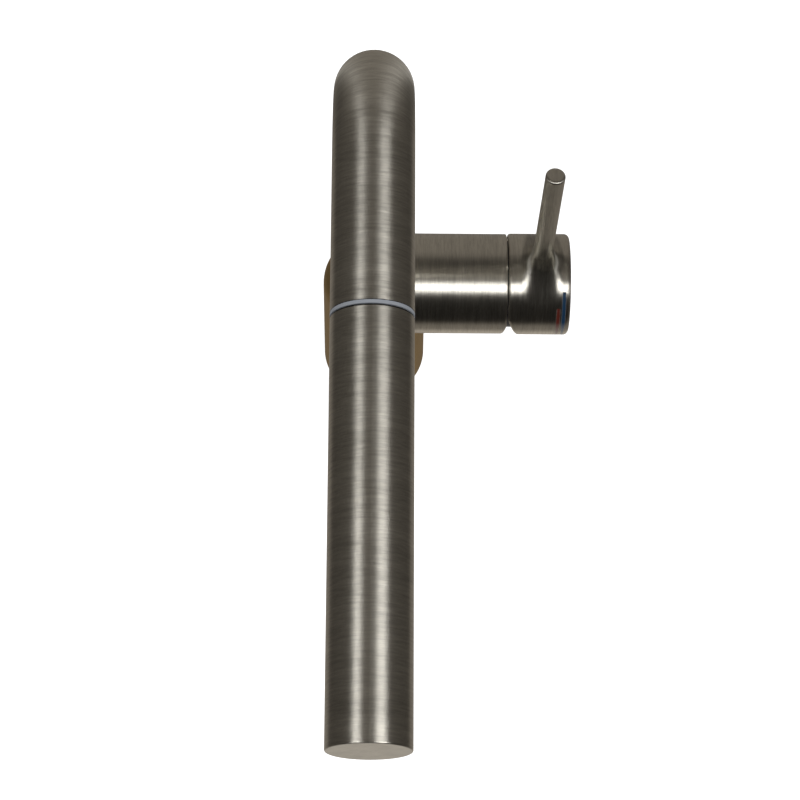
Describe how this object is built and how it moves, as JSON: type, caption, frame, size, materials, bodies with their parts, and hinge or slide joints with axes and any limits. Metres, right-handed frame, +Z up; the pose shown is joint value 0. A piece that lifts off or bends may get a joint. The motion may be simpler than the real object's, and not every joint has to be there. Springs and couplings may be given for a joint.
{
  "type": "kitchen faucet",
  "caption": "Single-lever kitchen tap: a tall round spout bent forward level, a pull-out spray head, a side handle barrel with a pin lever, and a deck-mounting shank.",
  "frame": {"origin": "centre of the base's underside, on the deck plane", "axes": "+Z up along the column, the spout forward along -Y, the handle barrel to the right along +X"},
  "size_m": [0.1029, 0.27, 0.367],
  "materials": {
    "brass_casting": "satin",
    "nickel": "brushed",
    "rough_brass": "machined",
    "steel": "zinc plated",
    "rubber": "moulded",
    "pale_plastic": "moulded",
    "dark_plastic": "moulded",
    "cartridge_plastic": "moulded",
    "ceramic": "lapped",
    "cold_blue": "enamel",
    "hot_red": "enamel"
  },
  "bodies": {
    "tap_body": {"valve_body": "brass_casting", "barrel_sleeve": "nickel", "base_gasket": "rubber", "mounting_shank": "rough_brass", "rubber_washer": "rubber", "steel_washer": "steel", "lock_nut": "rough_brass", "jack_screw_1": "steel", "jack_screw_2": "steel", "glide_washer": "pale_plastic", "lock_screw": "steel", "seat_gasket": "rubber", "cartridge_body": "cartridge_plastic", "fixed_disc": "ceramic", "cartridge_nut": "rough_brass", "trim_ring": "dark_plastic"},
    "spout": {"spout_tube": "nickel", "spout_insert": "rough_brass", "insert_o_ring": "rubber", "dock_ring": "pale_plastic"},
    "spray_head": {"spray_shell": "nickel", "end_cap": "nickel", "docking_plug": "pale_plastic", "plug_o_ring": "rubber", "hose_connector": "rough_brass", "check_valve": "dark_plastic", "waterway_tube": "dark_plastic", "waterway_elbow": "dark_plastic", "nozzle_ring": "nickel", "aerator_seal": "rubber", "aerator_body": "pale_plastic", "aerator_screen": "dark_plastic"},
    "cartridge_spindle": {"moving_disc": "ceramic", "rotor": "cartridge_plastic", "pivot_pin": "steel"},
    "lever": {"lever_handle": "nickel", "stem": "steel", "set_screw": "steel", "screw_plug": "dark_plastic", "cold_mark": "cold_blue", "hot_mark": "hot_red"}
  },
  "joints": [
    {"name": "spout_swivel", "type": "hinge", "parent": "tap_body", "child": "spout", "pos_m": [0, 0, 0.095], "axis": [0, 0, 1], "range_deg": [-75, 75]},
    {"name": "spray_pull", "type": "slide", "parent": "spout", "child": "spray_head", "axis": [0, -1, 0], "range_m": [0, 0.5]},
    {"name": "temperature_turn", "type": "hinge", "parent": "tap_body", "child": "cartridge_spindle", "pos_m": [0.057, 0, 0.082], "axis": [1, 0, 0], "range_deg": [-32, 58]},
    {"name": "lever_tilt", "type": "hinge", "parent": "cartridge_spindle", "child": "lever", "pos_m": [0.057, 0, 0.082], "axis": [0, 0.9744, -0.225], "range_deg": [0, 20]}
  ]
}
